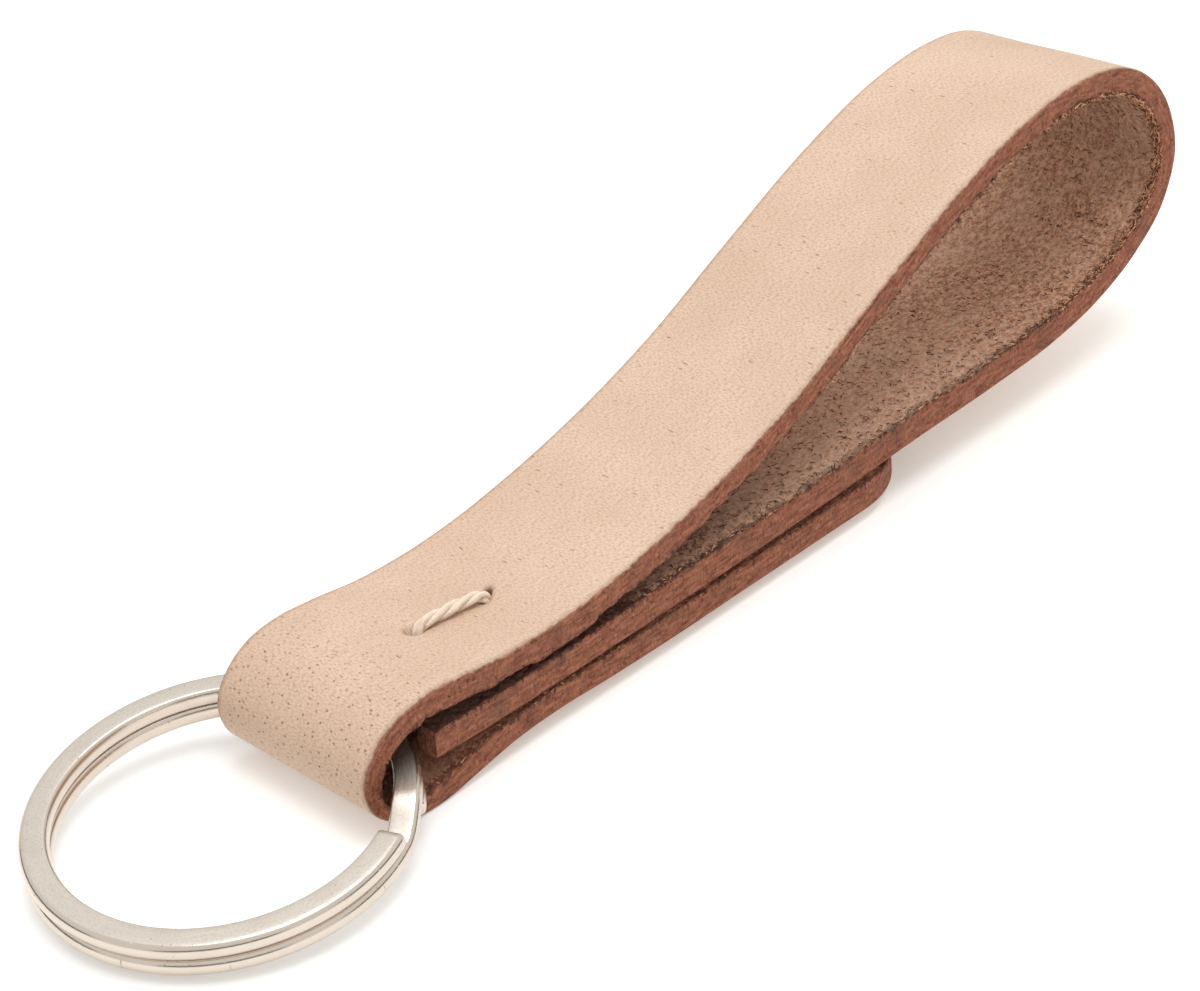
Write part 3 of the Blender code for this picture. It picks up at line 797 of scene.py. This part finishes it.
def make_thread(material):
    """Three plies twisted round the stitch's route, and a small knot with two cut ends under the strap."""
    route, side = stitch_route()
    centres, at, total = resample(route, 0.16)
    along = unit(np.roll(centres, -1, 0) - np.roll(centres, 1, 0))
    up = np.cross(side, along)
    turns = round(total / TWIST_PITCH)
    points = []
    faces = []
    strips = []

    def add(made, quads, strip):
        start = sum(len(p) for p in points)
        points.append(made)
        faces.extend([[start + i for i in f] for f in quads])
        strips.append(strip)

    for ply in range(3):
        turn = 2 * np.pi * (turns * at / total + ply / 3)
        wander = random_field(np.stack([at, 0 * at + 9 * ply, 0 * at], -1), 1.4, 21 + ply)
        swing = PLY_OFFSET * (1 + 0.08 * wander)
        line = centres + side * (np.cos(turn) * swing)[:, None] + up * (np.sin(turn) * swing)[:, None]
        swell = random_field(np.stack([at, 0 * at + 5 * ply, 0 * at], -1), 0.8, 31 + ply)
        radii = PLY_RADIUS * (1 + 0.1 * swell)
        made, quads = tube(line, radii, PLY_SIDES, closed=True)
        around = np.tile(np.arange(PLY_SIDES) / PLY_SIDES * 2, len(line))
        add(made, quads, np.stack([np.repeat(at, PLY_SIDES), around + 4 * ply, 0 * around], -1))

    middle = (np.array([*STITCH_LEFT, 0.0]) + np.array([*STITCH_RIGHT, 0.0])) / 2 + np.array([0, 0, -0.15])
    t = np.linspace(0, 2 * np.pi * 2.5, 70)
    wrap = middle + np.array([1.0, 0, 0]) * (0.34 * (t / t[-1] - 0.5) * 2)[:, None]
    wrap = wrap + side * (0.5 * np.cos(t))[:, None] + np.array([0, 0, 1.0]) * (0.5 * np.sin(t))[:, None]
    made, quads = tube(wrap, PLY_RADIUS * 0.95, PLY_SIDES)
    around = np.tile(np.arange(PLY_SIDES) / PLY_SIDES * 2, len(t))
    add(made, quads, np.stack([np.repeat(t, PLY_SIDES), around, 0 * around], -1))
    every_point = np.concatenate(points) + ORIGIN
    return mesh_piece("stitch_thread_plies", every_point, faces, material, strip=np.concatenate(strips))


# --------------------------------------------------------------------------------------------------- stage


def stage_material(name, colour, roughness, emission=0.0):
    s = Shader(name)
    grey = s.noise(s.node("ShaderNodeTexCoord", {}, 3), 3.0)
    shade = s.mix(s.times(grey, 0.04), colour, (0.8, 0.8, 0.8, 1.0))
    glow = {"Emission_Color": colour, "Emission_Strength": emission}
    return s.finish(Base_Color=shade, Roughness=roughness, Specular_IOR_Level=0.0, **glow)


def plane(name, size, location, target, material):
    x, y = size
    mesh = bpy.data.meshes.new(name)
    mesh.from_pydata([(-x, -y, 0), (x, -y, 0), (x, y, 0), (-x, y, 0)], [], [(0, 1, 2, 3)])
    mesh.materials.append(material)
    made = bpy.data.objects.new(name, mesh)
    made.location = location
    if target is not None:
        made.rotation_euler = (Vector(target) - Vector(location)).to_track_quat("Z", "Y").to_euler()
    bpy.context.collection.objects.link(made)
    return made


def area_light(name, location, target, size, power):
    data = bpy.data.lights.new(name, "AREA")
    data.shape = "RECTANGLE"
    data.size, data.size_y = size
    data.energy = power
    light = bpy.data.objects.new(name, data)
    light.location = location
    light.rotation_euler = (Vector(target) - Vector(location)).to_track_quat("-Z", "Y").to_euler()
    bpy.context.collection.objects.link(light)


def make_studio():
    scene = bpy.context.scene
    scene.view_settings.view_transform = "Standard"
    world = bpy.data.worlds.new("studio")
    world.use_nodes = True
    world.node_tree.nodes["Background"].inputs["Color"].default_value = (1.0, 0.995, 0.985, 1.0)
    world.node_tree.nodes["Background"].inputs["Strength"].default_value = 0.92
    scene.world = world
    paper = stage_material("floor_paper", (0.9, 0.9, 0.89, 1.0), 0.9, 0.22)
    plane("floor", (FLOOR_HALF, FLOOR_HALF), (0, 0, 0), None, paper)
    area_light("key", (0.02, -0.05, 0.6), (0, 0, 0.01), (0.4, 0.4), 1.9)
    dark = stage_material("dark_card", (0.03, 0.028, 0.026, 1.0), 1.0)
    for turn in range(4):
        a = math.radians(90 * turn + 40)
        spot = (CARD_RADIUS * math.cos(a), CARD_RADIUS * math.sin(a), CARD_LEVEL)
        card = plane(f"card_{turn}", (0.45, 0.09), spot, (0, 0, CARD_LEVEL), dark)
        card.visible_camera = False
    camera_data = bpy.data.cameras.new("camera")
    camera_data.lens = 76.8
    camera_data.sensor_width = 36.0
    camera_data.sensor_fit = "HORIZONTAL"
    camera_data.clip_start = 0.01
    camera_data.clip_end = 10.0
    camera = bpy.data.objects.new("camera", camera_data)
    right = Vector((0.68946, -0.72079, -0.07148))
    up = Vector((0.41567, 0.31291, 0.85399))
    back = Vector((-0.59318, -0.6185, 0.51535))
    pose = Matrix((right, up, back)).transposed().to_4x4()
    pose.translation = Vector((-0.14284, -0.14057, 0.12892))
    camera.matrix_world = pose
    bpy.context.collection.objects.link(camera)
    scene.camera = camera


# ------------------------------------------------------------------------------------------------- the fob

low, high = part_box("leather_strap")
ORIGIN = np.array([low.x, low.y, low.z]) / MM + np.array([0, 0, NOSE_DROP])

leather = leather_material()
nickel = nickel_material()
strap = make_strap(leather)
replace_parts(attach(strap, "strap"), "leather_strap")
fibre = fibre_material()
for hair in (make_nap(fibre), make_fray(fibre)):
    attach(hair, "strap")
thread = make_thread(linen_material())
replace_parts(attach(thread, "strap"), "stitch_thread")
coil = make_wire("ring_coil_wire", HINGE_ANGLE, LOWER_END_ANGLE, nickel, round_last=True)
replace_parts(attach(coil, "ring"), "ring_coil")
leaf = make_wire("ring_free_end_wire", FREE_END_ANGLE, HINGE_ANGLE, nickel, round_first=True)
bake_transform(leaf)
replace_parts(leaf, "ring_free_end")
make_studio()
